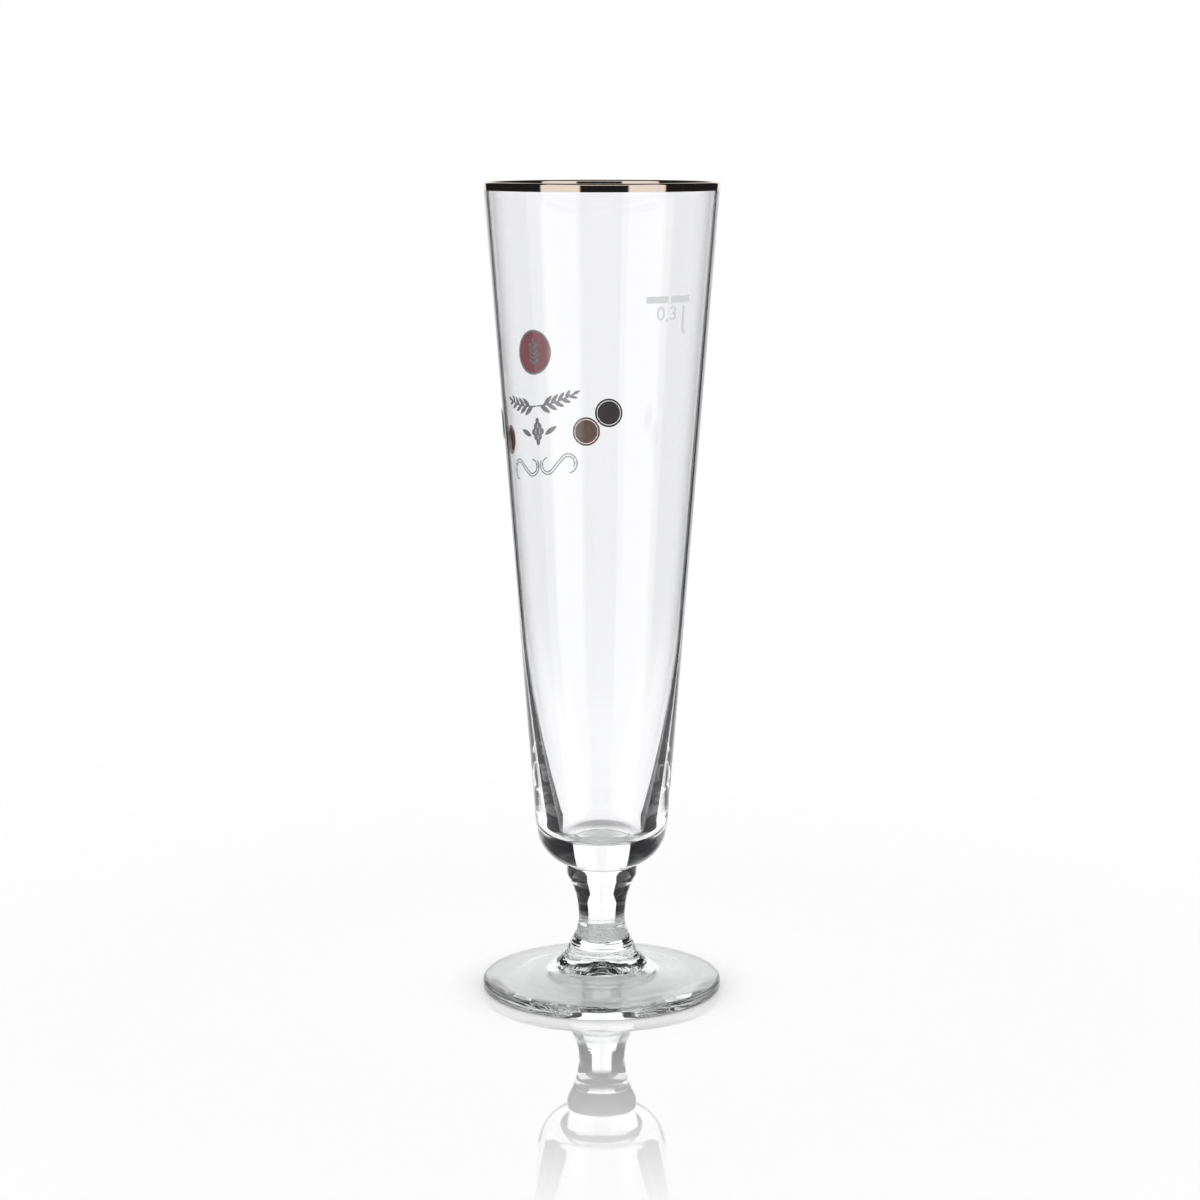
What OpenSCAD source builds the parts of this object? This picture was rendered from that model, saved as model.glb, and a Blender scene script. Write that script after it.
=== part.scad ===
// Footed pilsner glass: a tall conical bowl with a heavy base, a short collared stem and a round foot.
// Millimetres, +Z up, origin on the table under the glass's axis.
// The decorated front faces +X and the fill mark is nearly opposite.

/* [Bowl] */
// Height of the lip above the table
glass_height = 241.5; // [225:0.5:260]
// Outer diameter of the bowl at the lip
rim_d = 69; // [62:0.5:76]
// Outer diameter of the bowl where the straight wall ends
base_d = 39.5; // [36:0.5:43]
// Height above the table where the straight wall ends
base_height = 50.3; // [47:0.1:56]
// Radius of the rounding under the straight wall
base_round = 13.7; // [11:0.1:16]
// Thickness of the straight wall, square to its surface
wall = 0.95; // [0.8:0.05:1.6]
// Height where the inside starts to leave the straight wall
bend_height = 120; // [106:1:132]
// Radius of the inside's lower curve
bend_radius = 465; // [400:5:560]
// Thickness of the solid base under the inside floor
base_thick = 9.3; // [7:0.1:12]
// Radius between the inside wall and the inside floor
floor_round = 4.4; // [3:0.1:7]

/* [Stem] */
// Diameter of the weld face between bowl and stem
weld_d = 19.9; // [17:0.1:20.5]
// Diameter of the collar under the bowl
collar_d = 21; // [20.6:0.1:24]
// Height of the collar
collar_h = 3; // [2:0.1:4.5]
// Rounding of the collar's top edge
collar_round = 0.5; // [0.3:0.05:0.9]
// Diameter of the stem at its waist
waist_d = 14; // [11:0.1:17]
// Height of the waist above the table, where the stem meets the foot's neck
waist_height = 22.3; // [19.5:0.1:25]

/* [Foot] */
// Diameter of the foot
foot_d = 71.8; // [64:0.2:80]
// Height of the foot's edge
foot_edge = 3.4; // [2.8:0.1:5]
// Fall of the foot's top towards its edge, in degrees
foot_slope = 9; // [6:0.5:12]
// Radius of the hollow curve at the top of the neck
neck_round = 14.5; // [11:0.1:18]
// Lean of the neck's straight flare from upright, in degrees
flare_lean = 28; // [22:0.5:34]
// Radius of the hollow curve between the flare and the foot's top
foot_round = 9.5; // [6:0.1:12]
// Rounding of the foot's upper edge
edge_round = 1.3; // [0.8:0.05:1.6]
// Rounding of the foot's lower edge
rest_round = 0.9; // [0.5:0.05:1.1]
// Width of the flat ring that the glass rests on
rest_ring = 5.5; // [4:0.1:8]
// Depth of the shallow hollow under the foot, as if it ran on to the axis
hollow = 3; // [1:0.1:3.6]
// Diameter of the punt, the deeper hollow under the neck
punt_d = 30; // [24:0.5:34]
// Fall of the punt's side towards its edge, in degrees
punt_slope = 17; // [14:0.5:30]
// Radius of the punt's round top
punt_round = 5; // [2:0.1:9]
// Rounding of the edge where the two hollows meet
punt_edge_round = 5; // [2:0.1:7]

/* [Films] */
// Thickness of the fired-on films
film = 0.12; // [0.1:0.01:0.2]
// Height of the metal band outside, down from the lip
band_h = 2.3; // [1.5:0.1:6]
// Height of the metal band inside, down from the lip
band_in = 1.2; // [0.8:0.1:3]
// Distance from the lip down to the fill line's lower edge
fill_drop = 33.5; // [27:0.1:46]
// Height of the fill line's bars
fill_bar_h = 1.9; // [1:0.05:3]
// Length of each fill bar around the bowl
fill_bar_len = 7.2; // [5:0.1:10]
// Gap between the two fill bars
fill_gap = 0.95; // [0.6:0.05:2]
// Turn about the axis from the middle of the front to the fill mark, in degrees
fill_turn = 173.5; // [150:0.5:200]

/* [Emblem] */
// Distance from the lip down to the emblem's centre
emblem_drop = 51.4; // [46:0.1:54]
// Diameter of the emblem
emblem_d = 13.4; // [12:0.1:15]
// Width of the emblem's silver ring
emblem_ring = 0.65; // [0.4:0.05:1.2]
// Gap between the ring and the ends of the ear of barley inside it
ear_gap = 0.85; // [0.5:0.05:1.4]
// Length of the ear's bare stalk
ear_stalk = 1.4; // [0.8:0.1:2]
// Pairs of grains in the ear
ear_pairs = 4; // [3:1:5]
// Length of one grain
grain_len = 2.9; // [2.2:0.1:3.2]
// Width of one grain
grain_w = 0.85; // [0.6:0.05:0.9]

/* [Garland] */
// Distance from the emblem's centre down to the twigs' lower ends, at the middle of the front
garland_drop = 16.1; // [15:0.1:17]
// Radius of each spray's curved twig
twig_r = 30; // [26:0.5:40]
// Length of each twig
twig_len = 13.4; // [12:0.1:14.2]
// Width of the twigs and stalks
twig_w = 0.45; // [0.3:0.05:0.7]
// Leaves along each twig
leaf_count = 9; // [6:1:10]
// Length of the longest leaf
leaf_len = 5; // [4:0.1:5.4]
// Width of the longest leaf
leaf_w = 1.55; // [1:0.05:1.9]
// Distance from the emblem's centre down to the hop cone's middle
hop_drop = 23.7; // [23:0.1:25]
// Scales across the hop cone's widest row
hop_count = 3; // [2:1:3]
// Length of one scale of the hop cone
scale_len = 2.1; // [1.6:0.1:2.3]
// Width of one scale of the hop cone
scale_w = 1.5; // [1:0.05:1.7]
// Gap between scales in a row
scale_gap = 0.2; // [0.15:0.05:0.4]

/* [Medals] */
// Diameter of the medals
medal_d = 8.6; // [7:0.1:9.4]
// Width of the raised rim around each medal
medal_rim = 0.55; // [0.3:0.05:0.9]
// Width of the groove inside that rim
medal_groove = 0.2; // [0.15:0.05:0.4]
// Gap between the bronze and the dark medal of a pair
medal_gap = 0.4; // [0.3:0.05:1]
// Rise of the line from a bronze medal to the dark one beside it, in degrees
medal_rise = 38.5; // [30:0.5:50]
// Distance from the emblem's centre down to the bronze medals' centres
bronze_drop = 24.5; // [23:0.1:26]
// Distance around the bowl from the middle of the front to a bronze medal's centre
bronze_reach = 17; // [15:0.1:18.5]

/* [Scrolls] */
// Distance from the emblem's centre down to the scrolls' middle
scroll_drop = 33.9; // [33.3:0.1:38]
// Radius of the scrolls' curls, at the middle of the double line
curl_r = 2.5; // [2:0.05:2.7]
// Distance from a scroll's middle to the centre of each curl
curl_reach = 3.65; // [3.3:0.05:3.9]
// Gap between the two scrolls at the middle of the front
scroll_gap = 0.5; // [0.3:0.05:2]
// Distance between the two lines of a scroll
line_step = 0.8; // [0.6:0.05:1.2]
// Width of each line
line_w = 0.32; // [0.2:0.02:0.5]

/* [Hidden] */
$fa = 2;
$fs = 0.25;
// Largest distance between an arc and its chords
arc_error = 0.01;
front_turn = 0;

// Straight outer wall: it leans out by wall_lean, and wall_r gives its radius at a height
rim_r = rim_d / 2;
base_r = base_d / 2;
wall_lean = atan((rim_r - base_r) / (glass_height - base_height));
function wall_r(z) = base_r + (z - base_height) * tan(wall_lean);
function inside_r(z) = wall_r(z) - wall / cos(wall_lean);

// A step of the given length square to the wall, outwards
function wall_out(d) = [d * cos(wall_lean), -d * sin(wall_lean)];

// Round of the base: tangent to the wall, and cut off flat at the weld face
base_centre = [base_r, base_height] - wall_out(base_round);
weld_r = weld_d / 2;
weld_angle = -acos((weld_r - base_centre.x) / base_round);
weld_height = base_centre.y + base_round * sin(weld_angle);

// Lip: a half round as wide as the wall
lip_r = wall / 2;
lip_height = glass_height - lip_r;
lip_out_height = lip_height - lip_r * sin(wall_lean);
lip_out = [wall_r(lip_out_height), lip_out_height];
lip_centre = lip_out - wall_out(lip_r);

// Inside: straight, then a long curve, a short round and a flat floor
bend_start = [inside_r(bend_height), bend_height];
bend_centre = bend_start - wall_out(bend_radius);
floor_height = weld_height + base_thick;
corner_height = floor_height + floor_round;
corner_reach = bend_radius - floor_round;
corner_drop = bend_centre.y - corner_height;
corner_angle = -asin(corner_drop / corner_reach);
corner_centre = [bend_centre.x + corner_reach * cos(corner_angle), corner_height];

// Stem: a collar and a hollow curve that runs in to the waist
collar_r = collar_d / 2;
collar_foot = weld_height - collar_h;
waist_r = waist_d / 2;
stem_step = collar_r - waist_r;
stem_drop = collar_foot - waist_height;
stem_round = (pow(stem_step, 2) + pow(stem_drop, 2)) / (2 * stem_step);

// Foot: the neck's hollow curve, a straight flare, a second hollow curve and the sloping top
foot_r = foot_d / 2;
neck_end = [waist_r + neck_round * (1 - cos(flare_lean)), waist_height - neck_round * sin(flare_lean)];
flare_fall = [sin(flare_lean), -cos(flare_lean)];
// Corner where the flare's line meets the line of the foot's top
meet_run = neck_end.y - foot_edge - (foot_r - neck_end.x) * tan(foot_slope);
meet_drop = meet_run / (1 - tan(flare_lean) * tan(foot_slope));
meet = [neck_end.x + meet_drop * tan(flare_lean), neck_end.y - meet_drop];
meet_turn = 90 - flare_lean - foot_slope;
meet_reach = foot_round * tan(meet_turn / 2);
cove_start = meet - meet_reach * flare_fall;
cove_centre = cove_start + foot_round * [cos(flare_lean), sin(flare_lean)];
// Rounds of the foot's edge
edge_centre_height = foot_edge + edge_round * (tan(foot_slope) - 1 / cos(foot_slope));
edge_centre = [foot_r - edge_round, edge_centre_height];
rest_out = foot_r - rest_round;
rest_in = rest_out - rest_ring;
// Hollows of the underside: a cone with a round top, and a shallow hollow outside it
hollow_round = (pow(rest_in, 2) + pow(hollow, 2)) / (2 * hollow);
hollow_centre = [0, hollow - hollow_round];
punt_r = punt_d / 2;
punt_edge = [punt_r, hollow_centre.y + sqrt(pow(hollow_round, 2) - pow(punt_r, 2))];
// Steps square to the cone's side and down along it, and the side's distance from the origin
side_out = [sin(punt_slope), cos(punt_slope)];
side_down = [cos(punt_slope), -sin(punt_slope)];
side_reach = punt_edge * side_out;
punt_centre = [0, (side_reach - punt_round) / cos(punt_slope)];
// Centre of the round that touches the cone's side and the shallow hollow
join_start = (side_reach + punt_edge_round) * side_out - hollow_centre;
join_back = join_start * side_down;
join_room = join_start * join_start - pow(hollow_round + punt_edge_round, 2);
join_run = -join_back - sqrt(pow(join_back, 2) - join_room);
join_step = join_start + join_run * side_down;
join_centre = hollow_centre + join_step;
join_angle = atan2(join_step.y, join_step.x);

// Prints: the angle around the bowl that a length covers at a height
function wall_turn(len, z) = len / wall_r(z) * 180 / PI;
fill_height = glass_height - fill_drop;
emblem_height = glass_height - emblem_drop;
garland_height = emblem_height - garland_drop;
hop_height = emblem_height - hop_drop;
bronze_height = emblem_height - bronze_drop;
scroll_height = emblem_height - scroll_drop;
print_low = scroll_height - 2 * curl_r;
print_high = emblem_height + emblem_d;
// Angle around the bowl that one print may take up
print_sweep = 100;
ear_len = emblem_d - 2 * (emblem_ring + ear_gap);
twig_sweep = twig_len / twig_r * 180 / PI;
spray_turn = wall_turn(twig_len / 2, garland_height);
// Share of the longest leaf's size that is left at the tip of a spray
leaf_tip_share = 0.6;
// Leans from upright of the leaves on a twig, the leaves beside the hop cone and the grains, in degrees
leaf_lean = 36;
hop_leaf_lean = 62;
grain_lean = 45;
grain_step = (ear_len - ear_stalk - grain_len) / ear_pairs;
// Rows of scales stand closer than a scale's length, so that they interlock
scale_row = 0.75 * scale_len;
medal_step = medal_d + medal_gap;
bronze_turn = wall_turn(bronze_reach, bronze_height);
dark_height = bronze_height + medal_step * sin(medal_rise);
dark_turn = bronze_turn + wall_turn(medal_step * cos(medal_rise), bronze_height);
// Sweeps of the longer and the shorter line in a curl, in degrees
curl_open = 215;
curl_short = 165;
scroll_half = curl_reach + curl_r + (line_step + line_w) / 2;
scroll_turn = wall_turn(scroll_half + scroll_gap / 2, scroll_height);

// Points along an arc about a centre, from one angle to another, both ends included
function arc(centre, r, from, to) =
    let (
        steps = max(2, ceil(abs(to - from) / (2 * acos(1 - arc_error / r))))
    )
    [for (i = [0 : steps]) let (a = from + (to - from) * i / steps) centre + r * [cos(a), sin(a)]];

bowl_outline = concat(
    [[0, weld_height]],
    arc(base_centre, base_round, weld_angle, -wall_lean),
    arc(lip_centre, lip_r, -wall_lean, 180 - wall_lean),
    arc(bend_centre, bend_radius, -wall_lean, corner_angle),
    arc(corner_centre, floor_round, corner_angle, -90),
    [[0, floor_height]]
);

module bowl() {
    color([0.90, 0.94, 0.93, 0.35])
        rotate_extrude() polygon(bowl_outline);
}

stem_outline = concat(
    [[0, waist_height]],
    arc([waist_r + stem_round, waist_height], stem_round, 180, 180 - asin(stem_drop / stem_round)),
    arc([collar_r - collar_round, weld_height - collar_round], collar_round, 0, 90),
    [[0, weld_height]]
);

module stem() {
    color([0.88, 0.93, 0.91, 0.35])
        rotate_extrude() polygon(stem_outline);
}

foot_outline = concat(
    arc(punt_centre, punt_round, 90, 90 - punt_slope),
    arc(join_centre, punt_edge_round, 270 - punt_slope, 180 + join_angle),
    arc(hollow_centre, hollow_round, join_angle, 90 - asin(rest_in / hollow_round)),
    arc([rest_out, rest_round], rest_round, -90, 0),
    arc(edge_centre, edge_round, 0, 90 - foot_slope),
    arc(cove_centre, foot_round, 270 - foot_slope, 180 + flare_lean),
    arc([waist_r + neck_round, waist_height], neck_round, 180 + flare_lean, 180),
    [[0, waist_height]]
);

module foot() {
    color([0.86, 0.92, 0.90, 0.35])
        rotate_extrude() polygon(foot_outline);
}

// Section of a film on the straight wall between two heights
function wall_film(low, high) = [
    [wall_r(low), low],
    [wall_r(low), low] + wall_out(film),
    [wall_r(high), high] + wall_out(film),
    [wall_r(high), high]
];

band_foot = glass_height - band_h;
band_end = glass_height - band_in;
band_outline = concat(
    [[wall_r(band_foot), band_foot]],
    [[wall_r(band_foot), band_foot] + wall_out(film)],
    arc(lip_centre, lip_r + film, -wall_lean, 180 - wall_lean),
    [[inside_r(band_end), band_end] - wall_out(film)],
    [[inside_r(band_end), band_end]],
    arc(lip_centre, lip_r, 180 - wall_lean, -wall_lean)
);

module rim_band() {
    color([0.80, 0.74, 0.70])
        rotate_extrude() polygon(band_outline);
}

// One bar of the fill line, on the side of the mark that the sign gives
module fill_bar(side) {
    sweep = wall_turn(fill_bar_len, fill_height);
    start = wall_turn(fill_gap / 2, fill_height);
    color([0.86, 0.87, 0.88])
        rotate(fill_turn + (side > 0 ? start : -start - sweep))
            rotate_extrude(angle = sweep)
                polygon(wall_film(fill_height, fill_height + fill_bar_h));
}

module fill_bar_left() { fill_bar(-1); }
module fill_bar_right() { fill_bar(1); }

// Lays a flat outline on the wall as a film: x runs to the right and y up, seen from outside
module on_wall(turn, height) {
    intersection() {
        rotate(turn - print_sweep / 2)
            rotate_extrude(angle = print_sweep) polygon(wall_film(print_low, print_high));
        rotate(turn)
            translate([0, 0, height])
                rotate([90, 0, 90])
                    linear_extrude(rim_r) children();
    }
}

// Pointed oval, upright, of the given length and width
module grain(len, w) {
    r = (pow(len, 2) + pow(w, 2)) / (4 * w);
    intersection() {
        translate([r - w / 2, 0]) circle(r);
        translate([w / 2 - r, 0]) circle(r);
    }
}

// Part of a ring, from one angle through a sweep of less than half a turn
module arc_piece(r, w, from, sweep) {
    reach = 2 * (r + w) / cos(sweep / 2);
    intersection() {
        difference() {
            circle(r + w / 2);
            circle(r - w / 2);
        }
        polygon([
            [0, 0],
            reach * [cos(from), sin(from)],
            reach * [cos(from + sweep / 2), sin(from + sweep / 2)],
            reach * [cos(from + sweep), sin(from + sweep)]
        ]);
    }
}

// Part of a ring with round ends, of any sweep under a full turn
module arc_line(r, w, from, sweep) {
    arc_piece(r, w, from, sweep / 2);
    arc_piece(r, w, from + sweep / 2, sweep / 2);
    for (a = [from, from + sweep])
        rotate(a) translate([r, 0]) circle(w / 2);
}

// Ear of barley, upright about the origin
module ear_outline() {
    translate([0, -ear_len / 2]) {
        translate([-twig_w / 2, 0]) square([twig_w, ear_len - grain_len]);
        for (i = [0 : ear_pairs - 1], side = [-1, 1])
            translate([0, ear_stalk + grain_step * i])
                rotate(-side * grain_lean) translate([0, grain_len / 2]) grain(grain_len, grain_w);
        translate([0, ear_len - grain_len / 2 - twig_w]) grain(grain_len, grain_w);
    }
}

module emblem_field() {
    color([0.55, 0.14, 0.15])
        on_wall(front_turn, emblem_height)
            difference() {
                circle(emblem_d / 2 - emblem_ring);
                ear_outline();
            }
}

module emblem_figure() {
    color([0.72, 0.72, 0.73])
        on_wall(front_turn, emblem_height) {
            difference() {
                circle(emblem_d / 2);
                circle(emblem_d / 2 - emblem_ring);
            }
            ear_outline();
        }
}

// A leafy spray that runs out to the right and rises, with leaves on either side in turn
module spray_outline() {
    translate([twig_w, twig_r]) {
        arc_line(twig_r, twig_w, -90, twig_sweep);
        for (i = [1 : leaf_count + 1]) {
            along = twig_sweep * i / (leaf_count + 1);
            share = 1 - (1 - leaf_tip_share) * i / (leaf_count + 1);
            lean = i > leaf_count ? 0 : i % 2 == 0 ? leaf_lean : -leaf_lean;
            rotate(along)
                translate([0, -twig_r])
                    rotate(lean - 90)
                        translate([0, share * leaf_len / 2 - twig_w]) grain(share * leaf_len, share * leaf_w);
        }
    }
}

module garland() {
    color([0.66, 0.67, 0.68])
        for (side = [-1, 1])
            on_wall(front_turn + side * spray_turn, garland_height)
                mirror([side > 0 ? 0 : 1, 0])
                    translate([-twig_len / 2, 0]) spray_outline();
}

// Hop cone about the origin: rows of scales that widen and narrow again, between two leaves
module hop_outline() {
    step = scale_w + scale_gap;
    for (row = [1 - hop_count : hop_count - 1]) {
        last = hop_count - 1 - abs(row);
        for (i = [0 : last])
            translate([(i - last / 2) * step, row * scale_row]) grain(scale_len, scale_w);
    }
    for (side = [-1, 1])
        translate([side * (hop_count * step + leaf_len) / 2, 0])
            rotate(-side * hop_leaf_lean) grain(leaf_len, leaf_w);
}

module hop_cone() {
    color([0.66, 0.67, 0.68])
        on_wall(front_turn, hop_height) hop_outline();
}

// A round medal: a plate inside a raised rim
module medal_outline() {
    difference() {
        circle(medal_d / 2);
        circle(medal_d / 2 - medal_rim);
    }
    circle(medal_d / 2 - medal_rim - medal_groove);
}

module medal_bronze(side) {
    color([0.45, 0.30, 0.25])
        on_wall(front_turn + side * bronze_turn, bronze_height) medal_outline();
}

module medal_dark(side) {
    color([0.16, 0.12, 0.13])
        on_wall(front_turn + side * dark_turn, dark_height) medal_outline();
}

module medal_bronze_left() { medal_bronze(-1); }
module medal_bronze_right() { medal_bronze(1); }
module medal_dark_left() { medal_dark(-1); }
module medal_dark_right() { medal_dark(1); }

// One line of a lying S: two curls joined by their shared tangent through the middle
module scroll_line(shift, open) {
    lean = asin(curl_r / curl_reach);
    run = curl_reach * cos(lean);
    for (half = [0, 180])
        rotate(half)
            translate([curl_reach, 0])
                arc_line(curl_r + (half > 0 ? -shift : shift), line_w, 90 + lean - open, open);
    rotate(lean)
        translate([-run, shift - line_w / 2]) square([2 * run, line_w]);
}

module scroll_outline() {
    scroll_line(line_step / 2, curl_open);
    scroll_line(-line_step / 2, curl_short);
}

module scroll(side) {
    color([0.68, 0.69, 0.70])
        on_wall(front_turn + side * scroll_turn, scroll_height)
            mirror([side > 0 ? 0 : 1, 0]) scroll_outline();
}

module scroll_left() { scroll(-1); }
module scroll_right() { scroll(1); }

bowl();
stem();
foot();
rim_band();
fill_bar_left();
fill_bar_right();
emblem_field();
emblem_figure();
garland();
hop_cone();
medal_bronze_left();
medal_bronze_right();
medal_dark_left();
medal_dark_right();
scroll_left();
scroll_right();
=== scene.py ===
import math

import bmesh
import bpy
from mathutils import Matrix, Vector

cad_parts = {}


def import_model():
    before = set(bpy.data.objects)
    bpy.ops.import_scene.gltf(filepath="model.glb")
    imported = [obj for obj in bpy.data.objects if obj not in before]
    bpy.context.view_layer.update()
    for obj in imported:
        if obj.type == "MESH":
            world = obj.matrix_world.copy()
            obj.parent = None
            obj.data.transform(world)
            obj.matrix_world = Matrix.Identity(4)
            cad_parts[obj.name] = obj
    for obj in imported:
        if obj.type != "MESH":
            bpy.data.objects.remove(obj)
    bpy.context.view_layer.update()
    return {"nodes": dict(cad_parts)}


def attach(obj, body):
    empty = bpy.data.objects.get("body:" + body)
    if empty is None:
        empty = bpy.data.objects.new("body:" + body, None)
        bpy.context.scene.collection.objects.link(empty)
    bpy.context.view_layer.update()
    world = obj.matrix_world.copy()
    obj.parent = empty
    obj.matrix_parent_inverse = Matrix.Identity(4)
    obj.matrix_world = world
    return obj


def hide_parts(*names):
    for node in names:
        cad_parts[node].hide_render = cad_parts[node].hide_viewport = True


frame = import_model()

# Sizes of the glass in millimetres, as in its solids
MM = 0.001
GLASS_HEIGHT = 241.5
RIM_R = 34.5
BASE_R = 19.75
BASE_HEIGHT = 50.3
BASE_ROUND = 13.7
WALL = 0.95
BEND_HEIGHT = 120.0
BEND_RADIUS = 465.0
BASE_THICK = 9.3
FLOOR_ROUND = 4.4
WELD_R = 9.95
COLLAR_R = 10.5
COLLAR_H = 3.0
COLLAR_ROUND = 0.5
WAIST_R = 7.0
WAIST_HEIGHT = 22.3
FOOT_R = 35.9
FOOT_EDGE = 3.4
FOOT_SLOPE = 9.0
NECK_ROUND = 14.5
FLARE_LEAN = 28.0
FOOT_ROUND = 9.5
EDGE_ROUND = 1.3
REST_ROUND = 0.9
REST_RING = 5.5
HOLLOW = 3.0
PUNT_R = 15.0
PUNT_SLOPE = 17.0
PUNT_ROUND = 5.0
PUNT_EDGE_ROUND = 5.0
BAND_H = 2.3
BAND_IN = 1.2
FILM = 0.12

# Films sink this far into the glass, so that no air shows between them
FILM_SINK = 0.03
# Bowl, stem and foot stay this far apart at their joins, so that no two faces share a plane
JOIN_GAP = 0.01
# A face nearer than this to a join's height is the join's
JOIN_LIMIT = 0.001

# Meshes: steps round the axis, and the largest steps along arcs and ovals in degrees
SEGMENTS = 256
FLOOR_SEGMENTS = 90
ARC_STEP = 2.0
OVAL_STEP = 10.0
OVAL_STEPS_LEAST = 6
# A point nearer to the axis than this counts as on it, in millimetres
AXIS_LIMIT = 1e-6

# Place of the fill mark in degrees and millimetres
FILL_TURN = 173.5
FILL_DROP = 33.5

# Camera, fitted to the photograph: the turn is the camera's place around the glass from +X
PHOTO_SIZE = 1200
CAMERA_LENS = 85.53
CAMERA_SENSOR = 36.0
CAMERA_TURN = 136.4
CAMERA_REACH = 836.07
CAMERA_HEIGHT = 255.63
CAMERA_PITCH = 9.311
AXIS_OFFSET_PX = 1.75


# Outlines of the turned pieces, as (radius, height) points in millimetres

def wave(angle):
    return math.cos(math.radians(angle)), math.sin(math.radians(angle))


def arc(centre, radius, start, end):
    steps = max(2, math.ceil(abs(end - start) / ARC_STEP))
    angles = [start + (end - start) * i / steps for i in range(steps + 1)]
    return [(centre[0] + radius * wave(a)[0], centre[1] + radius * wave(a)[1]) for a in angles]


WALL_LEAN = math.degrees(math.atan((RIM_R - BASE_R) / (GLASS_HEIGHT - BASE_HEIGHT)))
LEAN_COS, LEAN_SIN = wave(WALL_LEAN)


def wall_r(height):
    return BASE_R + (height - BASE_HEIGHT) * LEAN_SIN / LEAN_COS


def off_wall(point, distance):
    return point[0] + distance * LEAN_COS, point[1] - distance * LEAN_SIN


def on_wall(height):
    return wall_r(height), height


def in_wall(height):
    return wall_r(height) - WALL / LEAN_COS, height


BASE_CENTRE = off_wall((BASE_R, BASE_HEIGHT), -BASE_ROUND)
WELD_ANGLE = -math.degrees(math.acos((WELD_R - BASE_CENTRE[0]) / BASE_ROUND))
WELD_HEIGHT = BASE_CENTRE[1] + BASE_ROUND * wave(WELD_ANGLE)[1]
FLOOR_HEIGHT = WELD_HEIGHT + BASE_THICK
LIP_R = WALL / 2
LIP_CENTRE = off_wall(on_wall(GLASS_HEIGHT - LIP_R * (1 + LEAN_SIN)), -LIP_R)


def bowl_outline():
    bend_centre = off_wall(in_wall(BEND_HEIGHT), -BEND_RADIUS)
    corner_height = FLOOR_HEIGHT + FLOOR_ROUND
    corner_reach = BEND_RADIUS - FLOOR_ROUND
    corner_angle = -math.degrees(math.asin((bend_centre[1] - corner_height) / corner_reach))
    corner_centre = bend_centre[0] + corner_reach * wave(corner_angle)[0], corner_height
    return [
        (0, WELD_HEIGHT),
        *arc(BASE_CENTRE, BASE_ROUND, WELD_ANGLE, -WALL_LEAN),
        *arc(LIP_CENTRE, LIP_R, -WALL_LEAN, 180 - WALL_LEAN),
        *arc(bend_centre, BEND_RADIUS, -WALL_LEAN, corner_angle),
        *arc(corner_centre, FLOOR_ROUND, corner_angle, -90),
        (0, FLOOR_HEIGHT),
    ]


def stem_outline():
    top = WELD_HEIGHT - JOIN_GAP
    step = COLLAR_R - WAIST_R
    drop = WELD_HEIGHT - COLLAR_H - WAIST_HEIGHT
    radius = (step ** 2 + drop ** 2) / (2 * step)
    sweep = math.degrees(math.asin(drop / radius))
    return [
        (0, WAIST_HEIGHT),
        *arc((WAIST_R + radius, WAIST_HEIGHT), radius, 180, 180 - sweep),
        *arc((COLLAR_R - COLLAR_ROUND, top - COLLAR_ROUND), COLLAR_ROUND, 0, 90),
        (0, top),
    ]


def underside(rest_in):
    """The punt under the neck, a small round and the shallow hollow that runs out to the rest ring."""
    hollow_round = (rest_in ** 2 + HOLLOW ** 2) / (2 * HOLLOW)
    hollow_z = HOLLOW - hollow_round
    down_cos, down_sin = wave(PUNT_SLOPE)
    # The side's distance from the origin, and the centre of the round between it and the shallow hollow
    reach = PUNT_R * down_sin + (hollow_z + math.sqrt(hollow_round ** 2 - PUNT_R ** 2)) * down_cos
    far = reach + PUNT_EDGE_ROUND
    back = hollow_z * down_sin
    off_centre = (far * down_sin) ** 2 + (far * down_cos - hollow_z) ** 2
    room = off_centre - (hollow_round + PUNT_EDGE_ROUND) ** 2
    run = -back - math.sqrt(back ** 2 - room)
    r, z = far * down_sin + run * down_cos, far * down_cos - run * down_sin
    join = math.degrees(math.atan2(z - hollow_z, r))
    return [
        *arc((0, (reach - PUNT_ROUND) / down_cos), PUNT_ROUND, 90, 90 - PUNT_SLOPE),
        *arc((r, z), PUNT_EDGE_ROUND, 270 - PUNT_SLOPE, 180 + join),
        *arc((0, hollow_z), hollow_round, join, 90 - math.degrees(math.asin(rest_in / hollow_round))),
    ]


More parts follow.
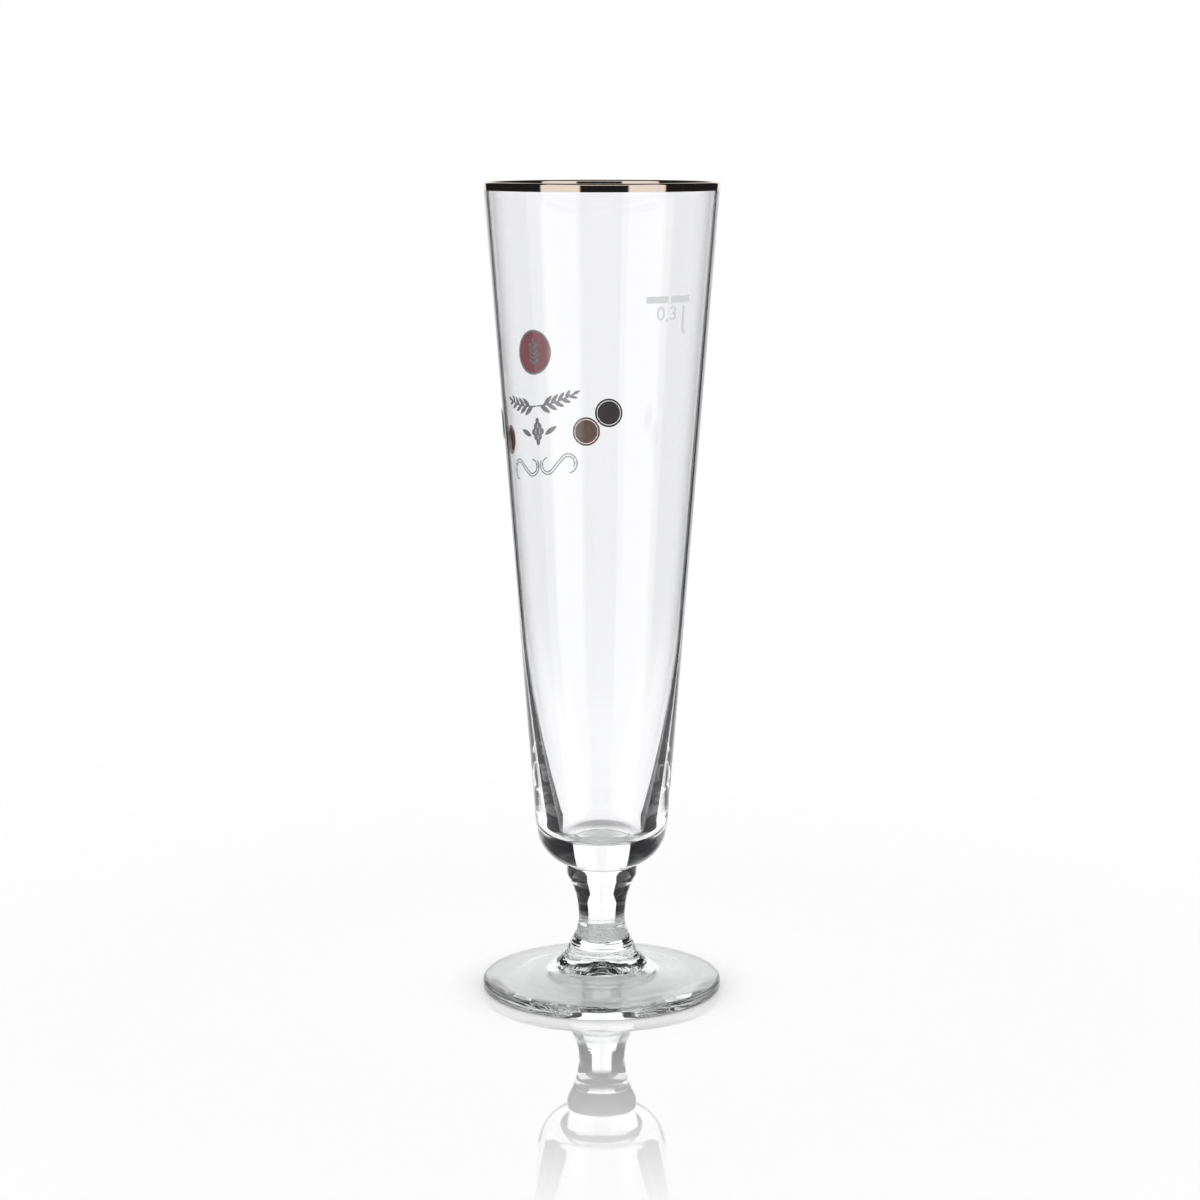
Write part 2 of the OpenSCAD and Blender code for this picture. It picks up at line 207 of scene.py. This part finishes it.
def foot_outline():
    top = WAIST_HEIGHT - JOIN_GAP
    lean_cos, lean_sin = wave(FLARE_LEAN)
    slope = math.tan(math.radians(FOOT_SLOPE))
    flare = lean_sin / lean_cos
    neck_end = WAIST_R + NECK_ROUND * (1 - lean_cos), top - NECK_ROUND * lean_sin
    # Corner where the flare's line meets the line of the foot's top
    drop = (neck_end[1] - FOOT_EDGE - (FOOT_R - neck_end[0]) * slope) / (1 - flare * slope)
    reach = FOOT_ROUND * math.tan(math.radians(90 - FLARE_LEAN - FOOT_SLOPE) / 2)
    start = (
        neck_end[0] + drop * flare - reach * lean_sin,
        neck_end[1] - drop + reach * lean_cos,
    )
    cove_centre = start[0] + FOOT_ROUND * lean_cos, start[1] + FOOT_ROUND * lean_sin
    edge_height = FOOT_EDGE + EDGE_ROUND * (slope - 1 / wave(FOOT_SLOPE)[0])
    rest_out = FOOT_R - REST_ROUND
    return [
        *underside(rest_out - REST_RING),
        *arc((rest_out, REST_ROUND), REST_ROUND, -90, 0),
        *arc((FOOT_R - EDGE_ROUND, edge_height), EDGE_ROUND, 0, 90 - FOOT_SLOPE),
        *arc(cove_centre, FOOT_ROUND, 270 - FOOT_SLOPE, 180 + FLARE_LEAN),
        *arc((WAIST_R + NECK_ROUND, top), NECK_ROUND, 180 + FLARE_LEAN, 180),
        (0, top),
    ]


def band_outline():
    foot = on_wall(GLASS_HEIGHT - BAND_H)
    end = in_wall(GLASS_HEIGHT - BAND_IN)
    return [
        off_wall(foot, -FILM_SINK),
        off_wall(foot, FILM),
        *arc(LIP_CENTRE, LIP_R + FILM, -WALL_LEAN, 180 - WALL_LEAN),
        off_wall(end, -FILM),
        off_wall(end, FILM_SINK),
        *arc(LIP_CENTRE, LIP_R - FILM_SINK, 180 - WALL_LEAN, -WALL_LEAN),
    ]


# Meshes

def mesh_object(name, points, faces, sharp_angle=30.0):
    mesh = bpy.data.meshes.new(name)
    mesh.from_pydata([[c * MM for c in p] for p in points], [], faces)
    bm = bmesh.new()
    bm.from_mesh(mesh)
    bmesh.ops.recalc_face_normals(bm, faces=bm.faces)
    bm.to_mesh(mesh)
    bm.free()
    mesh.shade_smooth()
    mesh.set_sharp_from_angle(angle=math.radians(sharp_angle))
    piece = bpy.data.objects.new(name, mesh)
    bpy.context.scene.collection.objects.link(piece)
    return piece


def lathe(name, outline, ring=False):
    """A turned solid: an outline from axis to axis, or a ring whose outline closes on itself."""
    points, rows = [], []
    for radius, height in outline:
        count = SEGMENTS if radius > AXIS_LIMIT else 1
        rows.append([len(points) + i for i in range(count)])
        for i in range(count):
            c, s = wave(360 * i / count)
            points.append((radius * c, radius * s, height))
    pairs = list(zip(rows, rows[1:]))
    if ring:
        pairs.append((rows[-1], rows[0]))
    faces = []
    for low, high in pairs:
        for i in range(SEGMENTS):
            j = (i + 1) % SEGMENTS
            corners = [low[i % len(low)], low[j % len(low)], high[j % len(high)], high[i % len(high)]]
            faces.append(list(dict.fromkeys(corners)))
    return mesh_object(name, points, faces)


def on_glass(x, height, turn, depth):
    """A point on the bowl: x runs right round the wall, seen from outside, and depth out of it."""
    radius = wall_r(height) + depth / LEAN_COS
    c, s = wave(turn + math.degrees(x / wall_r(height)))
    return radius * c, radius * s, height


def stroke(path, width, closed=False):
    """Left and right edges of a line of one width along a path of flat points."""
    edges = []
    count = len(path)
    for i, (x, y) in enumerate(path):
        ahead = path[(i + 1) % count] if closed else path[min(i + 1, count - 1)]
        behind = path[i - 1] if closed else path[max(i - 1, 0)]
        run = Vector((ahead[0] - behind[0], ahead[1] - behind[1])).normalized() * width / 2
        edges.append(((x - run.y, y + run.x), (x + run.y, y - run.x)))
    return edges


def line_print(name, paths, turn, height):
    """Lines laid on the bowl as a film. A path has flat points, a width, and whether it closes."""
    points, faces = [], []
    for path, width, closed in paths:
        first = len(points)
        edges = stroke(path, width, closed)
        for left, right in edges:
            for (x, y), depth in ((left, -FILM_SINK), (left, FILM), (right, FILM), (right, -FILM_SINK)):
                points.append(on_glass(x, height + y, turn, depth))
        count = len(edges)
        for i in range(count if closed else count - 1):
            a, b = first + 4 * i, first + 4 * ((i + 1) % count)
            faces += [[a + k, a + (k + 1) % 4, b + (k + 1) % 4, b + k] for k in range(4)]
        if not closed:
            last = first + 4 * (count - 1)
            faces += [[first + k for k in range(4)], [last + k for k in range(4)]]
    return mesh_object(name, points, faces)


def film_copy(name, node):
    """A print with its solid's mesh, sunk a little into the glass."""
    mesh = frame["nodes"][node].data.copy()
    mesh.name = name
    mesh.materials.clear()
    for v in mesh.vertices:
        out = Vector((v.co.x, v.co.y, 0)).normalized()
        v.co -= out * FILM_SINK * MM
    piece = bpy.data.objects.new(name, mesh)
    bpy.context.scene.collection.objects.link(piece)
    return piece


# Materials

GLASS_IOR = 1.51
# Depths of the bumps in metres, and their strengths
GLASS_WAVE = 0.0004
LUSTRE_BRUSH = 0.00002
LUSTRE_BRUSH_STRENGTH = 0.05
PRINT_TOOTH = 0.00003
PRINT_TOOTH_STRENGTH = 0.15
# Scales of the grain, and how far the roughness follows it
LUSTRE_GRAIN = 900
LUSTRE_STRETCH = (1, 1, 4)
LUSTRE_ROUGHNESS = (0.02, 0.07)
PRINT_GRAIN = 2500
PRINT_UNEVEN = 0.08


def new_material(name):
    material = bpy.data.materials.new(name)
    material.use_nodes = True
    nodes = material.node_tree.nodes
    return material, nodes, material.node_tree.links, nodes["Principled BSDF"]


def noise(nodes, links, scale, stretch=(1, 1, 1), detail=3.0):
    place = nodes.new("ShaderNodeTexCoord")
    mapping = nodes.new("ShaderNodeMapping")
    mapping.inputs["Scale"].default_value = stretch
    texture = nodes.new("ShaderNodeTexNoise")
    texture.inputs["Scale"].default_value = scale
    texture.inputs["Detail"].default_value = detail
    links.new(place.outputs["Object"], mapping.inputs["Vector"])
    links.new(mapping.outputs["Vector"], texture.inputs["Vector"])
    return texture.outputs["Fac"]


def spread(nodes, links, source, low, high):
    """A number between low and high that follows a noise."""
    node = nodes.new("ShaderNodeMapRange")
    node.inputs["To Min"].default_value = low
    node.inputs["To Max"].default_value = high
    links.new(source, node.inputs["Value"])
    return node.outputs["Result"]


def tones(nodes, links, source, dark, light):
    """A colour between two tones that follows a noise."""
    node = nodes.new("ShaderNodeMix")
    node.data_type = "RGBA"
    node.inputs["A"].default_value = (*dark, 1)
    node.inputs["B"].default_value = (*light, 1)
    links.new(source, node.inputs["Factor"])
    return node.outputs["Result"]


def over(nodes, links, factor, below, tone):
    """A colour with a tone laid over it."""
    node = nodes.new("ShaderNodeMix")
    node.data_type = "RGBA"
    node.inputs["B"].default_value = (*tone, 1)
    links.new(below, node.inputs["A"])
    links.new(factor, node.inputs["Factor"])
    return node.outputs["Result"]


def bump(nodes, links, source, shader, strength, distance):
    node = nodes.new("ShaderNodeBump")
    node.inputs["Strength"].default_value = strength
    node.inputs["Distance"].default_value = distance
    links.new(source, node.inputs["Height"])
    links.new(node.outputs["Normal"], shader.inputs["Normal"])


def glass(name, tint, scale, stretch, strength):
    """Clear glass whose surface waves a little, as blown and pressed glass does."""
    material, nodes, links, shader = new_material(name)
    shader.inputs["Base Color"].default_value = (*tint, 1)
    shader.inputs["Roughness"].default_value = 0.0
    shader.inputs["IOR"].default_value = GLASS_IOR
    shader.inputs["Transmission Weight"].default_value = 1.0
    bump(nodes, links, noise(nodes, links, scale, stretch, 1.0), shader, strength, GLASS_WAVE)
    return material


def clear_join(name):
    """Light goes straight on where two pieces are fused."""
    material, nodes, links, shader = new_material(name)
    nodes.remove(shader)
    clear = nodes.new("ShaderNodeBsdfTransparent")
    links.new(clear.outputs["BSDF"], nodes["Material Output"].inputs["Surface"])
    return material


def lustre(name, dark, light):
    """Thin bright metal coat with a faint brushed unevenness."""
    material, nodes, links, shader = new_material(name)
    grain = noise(nodes, links, LUSTRE_GRAIN, LUSTRE_STRETCH)
    links.new(tones(nodes, links, grain, dark, light), shader.inputs["Base Color"])
    links.new(spread(nodes, links, grain, *LUSTRE_ROUGHNESS), shader.inputs["Roughness"])
    shader.inputs["Metallic"].default_value = 1.0
    bump(nodes, links, grain, shader, LUSTRE_BRUSH_STRENGTH, LUSTRE_BRUSH)
    return material


def fired_print(name, dark, light, roughness, gloss, clear=0.0, tint=(1, 1, 1)):
    """Fired-on print: a slightly uneven, finely grained film that lets a share of the light through."""
    material, nodes, links, shader = new_material(name)
    grain = noise(nodes, links, PRINT_GRAIN)
    links.new(tones(nodes, links, grain, dark, light), shader.inputs["Base Color"])
    rough = spread(nodes, links, grain, roughness - PRINT_UNEVEN, roughness + PRINT_UNEVEN)
    links.new(rough, shader.inputs["Roughness"])
    shader.inputs["Specular IOR Level"].default_value = gloss
    bump(nodes, links, grain, shader, PRINT_TOOTH_STRENGTH, PRINT_TOOTH)
    if clear:
        lit = nodes.new("ShaderNodeBsdfTransparent")
        lit.inputs["Color"].default_value = (*tint, 1)
        share = nodes.new("ShaderNodeMixShader")
        share.inputs["Fac"].default_value = clear
        links.new(shader.outputs["BSDF"], share.inputs[1])
        links.new(lit.outputs["BSDF"], share.inputs[2])
        links.new(share.outputs["Shader"], nodes["Material Output"].inputs["Surface"])
    return material


# The glass

def dress(piece, slot, materials, *nodes):
    for material in materials:
        piece.data.materials.append(material)
    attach(piece, "root")
    if nodes:
        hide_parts(*nodes)
    return piece


def clear_faces(piece, joins):
    """Gives the flat faces at the joins the piece's second material."""
    for face in piece.data.polygons:
        if any(abs(face.center.z - height * MM) < JOIN_LIMIT * MM for height in joins):
            face.material_index = 1


join = clear_join("fused_join")
bowl_glass = glass("bowl_glass", (0.978, 0.979, 0.984), scale=60, stretch=(1, 1, 0.15), strength=0.03)
stem_glass = glass("stem_glass", (0.975, 0.978, 0.98), scale=120, stretch=(1, 1, 1), strength=0.03)
foot_glass = glass("foot_glass", (0.966, 0.977, 0.972), scale=130, stretch=(0.3, 0.3, 7), strength=0.55)

bowl = lathe("bowl_body", bowl_outline())
dress(bowl, "glass", [bowl_glass, join], "bowl")
clear_faces(bowl, [WELD_HEIGHT])
stem = lathe("stem_body", stem_outline())
dress(stem, "glass", [stem_glass, join], "stem")
clear_faces(stem, [WELD_HEIGHT - JOIN_GAP, WAIST_HEIGHT])
foot = lathe("foot_body", foot_outline())
dress(foot, "glass", [foot_glass, join], "foot")
clear_faces(foot, [WAIST_HEIGHT - JOIN_GAP])

rim_metal = lustre("rim_lustre", (0.76, 0.64, 0.54), (0.82, 0.71, 0.61))
dress(lathe("rim_coat", band_outline(), ring=True), "rim_metal", [rim_metal], "rim_band")

# Prints

silver = fired_print(
    "silver_print", (0.36, 0.355, 0.36), (0.46, 0.455, 0.46), roughness=0.45, gloss=0.5, clear=0.33
)
red = fired_print(
    "red_enamel", (0.30, 0.09, 0.10), (0.38, 0.13, 0.14), roughness=0.3, gloss=0.2, clear=0.7,
    tint=(0.66, 0.42, 0.44),
)
bronze = fired_print("bronze_print", (0.30, 0.15, 0.12), (0.42, 0.23, 0.18), roughness=0.4, gloss=0.15)
dark = fired_print("dark_print", (0.03, 0.018, 0.02), (0.07, 0.045, 0.05), roughness=0.4, gloss=0.1)
pale = fired_print("pale_print", (0.64, 0.645, 0.65), (0.74, 0.745, 0.75), roughness=0.6, gloss=0.5)

PRINTS = {
    "fill_bar_left": ("fill_print", pale),
    "fill_bar_right": ("fill_print", pale),
    "emblem_field": ("red_enamel", red),
    "emblem_figure": ("silver_print", silver),
    "garland": ("silver_print", silver),
    "hop_cone": ("silver_print", silver),
    "medal_bronze_left": ("bronze_print", bronze),
    "medal_bronze_right": ("bronze_print", bronze),
    "medal_dark_left": ("dark_print", dark),
    "medal_dark_right": ("dark_print", dark),
    "scroll_left": ("silver_print", silver),
    "scroll_right": ("silver_print", silver),
}
for node, (slot, material) in PRINTS.items():
    dress(film_copy(node + "_film", node), slot, [material], node)

# Figures of the fill mark: their tops are just under the bars, and x counts from the gap between them
FIGURE_GAP = 0.9
FIGURE_TOP = GLASS_HEIGHT - FILL_DROP - FIGURE_GAP
FIGURE_H = 4.0
FIGURE_LINE = 0.5
ZERO_X = -2.9
ZERO_W = 2.0
COMMA_X = -0.75
COMMA_TOP = (0.15, 0.5)
COMMA_END = (-0.2, -0.5)
THREE_X = 1.35
THREE_W = 1.9
THREE_TOP_INSET = 0.1
THREE_OPEN = 160
LITRE_X = 5.5
LITRE_H = 7.7
LITRE_HOOK = 1.1
LITRE_LINE = 0.85


def oval(x, y, half_w, half_h, start, end):
    steps = max(OVAL_STEPS_LEAST, math.ceil(abs(end - start) / OVAL_STEP))
    angles = [start + (end - start) * i / steps for i in range(steps + 1)]
    return [(x + half_w * wave(a)[0], y + half_h * wave(a)[1]) for a in angles]


def fill_figures():
    inner = FIGURE_H / 2 - FIGURE_LINE / 2
    zero = oval(ZERO_X, -FIGURE_H / 2, ZERO_W / 2, inner, 0, 360)[:-1]
    comma = [(COMMA_X + x, -FIGURE_H + y) for x, y in (COMMA_TOP, COMMA_END)]
    bowl_h = inner / 2
    three = [
        *oval(THREE_X, -FIGURE_H / 2 + bowl_h, THREE_W / 2 - THREE_TOP_INSET, bowl_h, THREE_OPEN, -90),
        *oval(THREE_X, -FIGURE_H / 2 - bowl_h, THREE_W / 2, bowl_h, 90, -THREE_OPEN)[1:],
    ]
    litre = [
        (LITRE_X, 0),
        (LITRE_X, LITRE_HOOK - LITRE_H),
        *oval(LITRE_X + LITRE_HOOK, LITRE_HOOK - LITRE_H, LITRE_HOOK, LITRE_HOOK, 180, 270)[1:],
    ]
    return [
        (zero, FIGURE_LINE, True),
        (comma, FIGURE_LINE, False),
        (three, FIGURE_LINE, False),
        (litre, LITRE_LINE, False),
    ]


figures = line_print("fill_figures", fill_figures(), FILL_TURN, FIGURE_TOP)
dress(figures, "fill_print", [pale])

# Studio: a white floor that mirrors the foot, and a white room with dark cards that only glass and
# metal see. Lengths on the floor are metres from the axis of the glass

FLOOR_R = 0.6
# Air between the rest ring and the floor, in millimetres
FLOOR_GAP = 0.05
FADE_START = 0.25
FADE_END = 0.5
MIRROR_START = 0.036
MIRROR_END = 0.21
MIRROR_SHARE = 0.75
MIRROR_BLUR = 0.02
# The floor mirrors nothing under the foot and little beside it
UNDER_START = 0.0345
UNDER_END = 0.052
# Light that has gone through the glass meets the floor only under the foot and close to it
SEEN_START = 0.055
SEEN_END = 0.085
# Turns of the cards in degrees, counted to the left from straight behind the glass
CARD_EDGE = 2.5
CARDS_THROUGH = ((40, 99), (-111, -25.5))
CARDS_MIRRORED = ((28, 119), (-116, -28))
FRONT_CARD = (159, 206)
CARD_TONE = (0.015, 0.015, 0.017)
# Heights in degrees between which the room turns dark at the top and the front card ends
DARK_ABOVE = (36, 48)
DARK_ABOVE_THROUGH = (28, 38)
FRONT_TOP = (14, 11)
FRONT_FOOT_THROUGH = (-13, -9)
# The window behind the glass, with brighter panels on either side
WINDOW = (-30, 30)
WINDOW_TONE = (1.03, 1.03, 1.04)
PANELS = ((4, 30), (-30, -4))
PANEL_EDGE = 4.0
PANEL_TONE = (1.17, 1.17, 1.18)
# The two near cards behind the glass, in millimetres: how far behind, how far out, and their inner
# edges as (side, height) points
NEAR_BEHIND = 303.0
NEAR_OUT = 420.0
NEAR_EDGE = ((146.0, -260.0), (146.0, 5.0), (92.0, 60.0), (101.0, 172.0), (122.0, 420.0))


def maths(nodes, links, operation, *sources):
    node = nodes.new("ShaderNodeMath")
    node.operation = operation
    for socket, source in zip(node.inputs, sources):
        if isinstance(source, (int, float)):
            socket.default_value = source
        else:
            links.new(source, socket)
    return node.outputs["Value"]


def ramp(nodes, links, source, start, end):
    """A soft step from 0 at start to 1 at end."""
    node = nodes.new("ShaderNodeMapRange")
    node.interpolation_type = "SMOOTHSTEP"
    node.inputs["From Min"].default_value = start
    node.inputs["From Max"].default_value = end
    links.new(source, node.inputs["Value"])
    return node.outputs["Result"]


def mixed(nodes, links, factor, first, second):
    node = nodes.new("ShaderNodeMixShader")
    links.new(factor, node.inputs["Fac"])
    links.new(first, node.inputs[1])
    links.new(second, node.inputs[2])
    return node.outputs["Shader"]


def floor_material():
    material, nodes, links, shader = new_material("pale_floor")
    shader.inputs["Base Color"].default_value = (1, 1, 1, 1)
    shader.inputs["Roughness"].default_value = 0.6
    shader.inputs["Specular IOR Level"].default_value = 0.0
    gloss = nodes.new("ShaderNodeBsdfGlossy")
    gloss.inputs["Color"].default_value = (1, 1, 1, 1)
    gloss.inputs["Roughness"].default_value = MIRROR_BLUR
    clear = nodes.new("ShaderNodeBsdfTransparent")
    path = nodes.new("ShaderNodeLightPath")
    place = nodes.new("ShaderNodeTexCoord")
    length = nodes.new("ShaderNodeVectorMath")
    length.operation = "LENGTH"
    links.new(place.outputs["Object"], length.inputs[0])
    reach = length.outputs["Value"]
    near = ramp(nodes, links, reach, MIRROR_END, MIRROR_START)
    share = maths(nodes, links, "MULTIPLY", near, MIRROR_SHARE)
    beside = ramp(nodes, links, reach, UNDER_START, UNDER_END)
    share = maths(nodes, links, "MULTIPLY", share, beside)
    unseen = ramp(nodes, links, reach, SEEN_START, SEEN_END)
    gone = maths(nodes, links, "MULTIPLY", path.outputs["Is Transmission Ray"], unseen)
    open_share = maths(nodes, links, "MAXIMUM", gone, ramp(nodes, links, reach, FADE_START, FADE_END))
    surface = mixed(nodes, links, share, shader.outputs["BSDF"], gloss.outputs["BSDF"])
    whole = mixed(nodes, links, open_share, surface, clear.outputs["BSDF"])
    links.new(whole, nodes["Material Output"].inputs["Surface"])
    return material


def floor():
    reach = FLOOR_R / MM
    ring = [wave(360 * i / FLOOR_SEGMENTS) for i in range(FLOOR_SEGMENTS)]
    points = [(0, 0, -FLOOR_GAP), *((reach * c, reach * s, -FLOOR_GAP) for c, s in ring)]
    faces = [[0, i, i % FLOOR_SEGMENTS + 1] for i in range(1, FLOOR_SEGMENTS + 1)]
    plane = mesh_object("floor", points, faces)
    plane.data.materials.append(floor_material())


def card(nodes, links, way, start, end, edge=CARD_EDGE):
    """1 where light comes from a card between two turns."""
    turned = nodes.new("ShaderNodeVectorRotate")
    turned.rotation_type = "Z_AXIS"
    turned.inputs["Angle"].default_value = -math.radians(CAMERA_TURN + 180 + (start + end) / 2)
    links.new(way, turned.inputs["Vector"])
    split = nodes.new("ShaderNodeSeparateXYZ")
    links.new(turned.outputs["Vector"], split.inputs["Vector"])
    turn = maths(nodes, links, "ARCTAN2", split.outputs["Y"], split.outputs["X"])
    off = maths(nodes, links, "ABSOLUTE", turn)
    half = (end - start) / 2
    return ramp(nodes, links, off, math.radians(half + edge / 2), math.radians(half - edge / 2))


def clear_way(nodes, links, path):
    """1 for light that comes through glass, but not for what lights the floor."""
    direct = maths(nodes, links, "LESS_THAN", path.outputs["Diffuse Depth"], 0.5)
    return maths(nodes, links, "MULTIPLY", path.outputs["Is Transmission Ray"], direct)


def near_card(name, hand):
    """A dark card that only light through the glass meets. Hand is 1 on the left and -1 on the right."""
    ahead, left = Vector(wave(CAMERA_TURN + 180)), Vector(wave(CAMERA_TURN + 270))
    corners = [*NEAR_EDGE, (NEAR_OUT, NEAR_EDGE[-1][1]), (NEAR_OUT, NEAR_EDGE[0][1])]
    points = [(*(NEAR_BEHIND * ahead + hand * side * left), height) for side, height in corners]
    plane = mesh_object(name, points, [list(range(len(points)))])
    material, nodes, links, shader = new_material(name)
    nodes.remove(shader)
    clear = nodes.new("ShaderNodeBsdfTransparent")
    black = nodes.new("ShaderNodeEmission")
    black.inputs["Color"].default_value = (*CARD_TONE, 1)
    seen = clear_way(nodes, links, nodes.new("ShaderNodeLightPath"))
    whole = mixed(nodes, links, seen, clear.outputs["BSDF"], black.outputs["Emission"])
    links.new(whole, nodes["Material Output"].inputs["Surface"])
    plane.data.materials.append(material)


def rise(nodes, links, height, limits):
    """A soft step between two heights in degrees."""
    return ramp(nodes, links, height, *(math.sin(math.radians(limit)) for limit in limits))


def world():
    sky = bpy.data.worlds.new("white_room")
    bpy.context.scene.world = sky
    sky.use_nodes = True
    nodes, links = sky.node_tree.nodes, sky.node_tree.links
    path = nodes.new("ShaderNodeLightPath")
    straight = maths(nodes, links, "SUBTRACT", 1.0, path.outputs["Is Transmission Ray"])
    mirrored = maths(nodes, links, "MULTIPLY", path.outputs["Is Glossy Ray"], straight)
    way = nodes.new("ShaderNodeTexCoord").outputs["Generated"]
    split = nodes.new("ShaderNodeSeparateXYZ")
    links.new(way, split.inputs["Vector"])
    height = split.outputs["Z"]

    def any_of(sectors, edge=CARD_EDGE):
        first, second = (card(nodes, links, way, *sector, edge) for sector in sectors)
        return maths(nodes, links, "MAXIMUM", first, second)

    through = clear_way(nodes, links, path)
    top = rise(nodes, links, height, DARK_ABOVE_THROUGH)
    dark_through = maths(nodes, links, "MAXIMUM", any_of(CARDS_THROUGH), top)
    front = card(nodes, links, way, *FRONT_CARD)
    front = maths(nodes, links, "MULTIPLY", front, rise(nodes, links, height, FRONT_TOP))
    above_foot = rise(nodes, links, height, FRONT_FOOT_THROUGH)
    front_through = maths(nodes, links, "MULTIPLY", front, above_foot)
    dark_through = maths(nodes, links, "MAXIMUM", dark_through, front_through)
    dark_mirrored = maths(nodes, links, "MAXIMUM", front, rise(nodes, links, height, DARK_ABOVE))
    dark_mirrored = maths(nodes, links, "MAXIMUM", dark_mirrored, any_of(CARDS_MIRRORED))
    seen_through = maths(nodes, links, "MULTIPLY", dark_through, through)
    seen_mirrored = maths(nodes, links, "MULTIPLY", dark_mirrored, mirrored)
    seen = maths(nodes, links, "MAXIMUM", seen_through, seen_mirrored)
    window = maths(nodes, links, "MULTIPLY", card(nodes, links, way, *WINDOW), through)
    panels = maths(nodes, links, "MULTIPLY", any_of(PANELS, PANEL_EDGE), through)

    room = tones(nodes, links, window, (1, 1, 1), WINDOW_TONE)
    room = over(nodes, links, panels, room, PANEL_TONE)
    back = nodes["Background"]
    links.new(over(nodes, links, seen, room, CARD_TONE), back.inputs["Color"])
    back.inputs["Strength"].default_value = 1.0


floor()
near_card("near_card_left", 1)
near_card("near_card_right", -1)
world()


# Camera

def camera():
    data = bpy.data.cameras.new("camera")
    data.sensor_width = CAMERA_SENSOR
    data.lens = CAMERA_LENS
    data.shift_x = -AXIS_OFFSET_PX / PHOTO_SIZE
    seat = bpy.data.objects.new("camera", data)
    bpy.context.scene.collection.objects.link(seat)
    c, s = wave(CAMERA_TURN)
    seat.location = Vector((CAMERA_REACH * c, CAMERA_REACH * s, CAMERA_HEIGHT)) * MM
    down_cos, down_sin = wave(CAMERA_PITCH)
    ahead = Vector((-c * down_cos, -s * down_cos, -down_sin))
    seat.rotation_euler = ahead.to_track_quat("-Z", "Y").to_euler()
    bpy.context.scene.camera = seat


camera()
scene = bpy.context.scene
scene.view_settings.view_transform = "Standard"
scene.cycles.max_bounces = 32
scene.cycles.transmission_bounces = 32
scene.cycles.glossy_bounces = 16
scene.cycles.transparent_max_bounces = 32
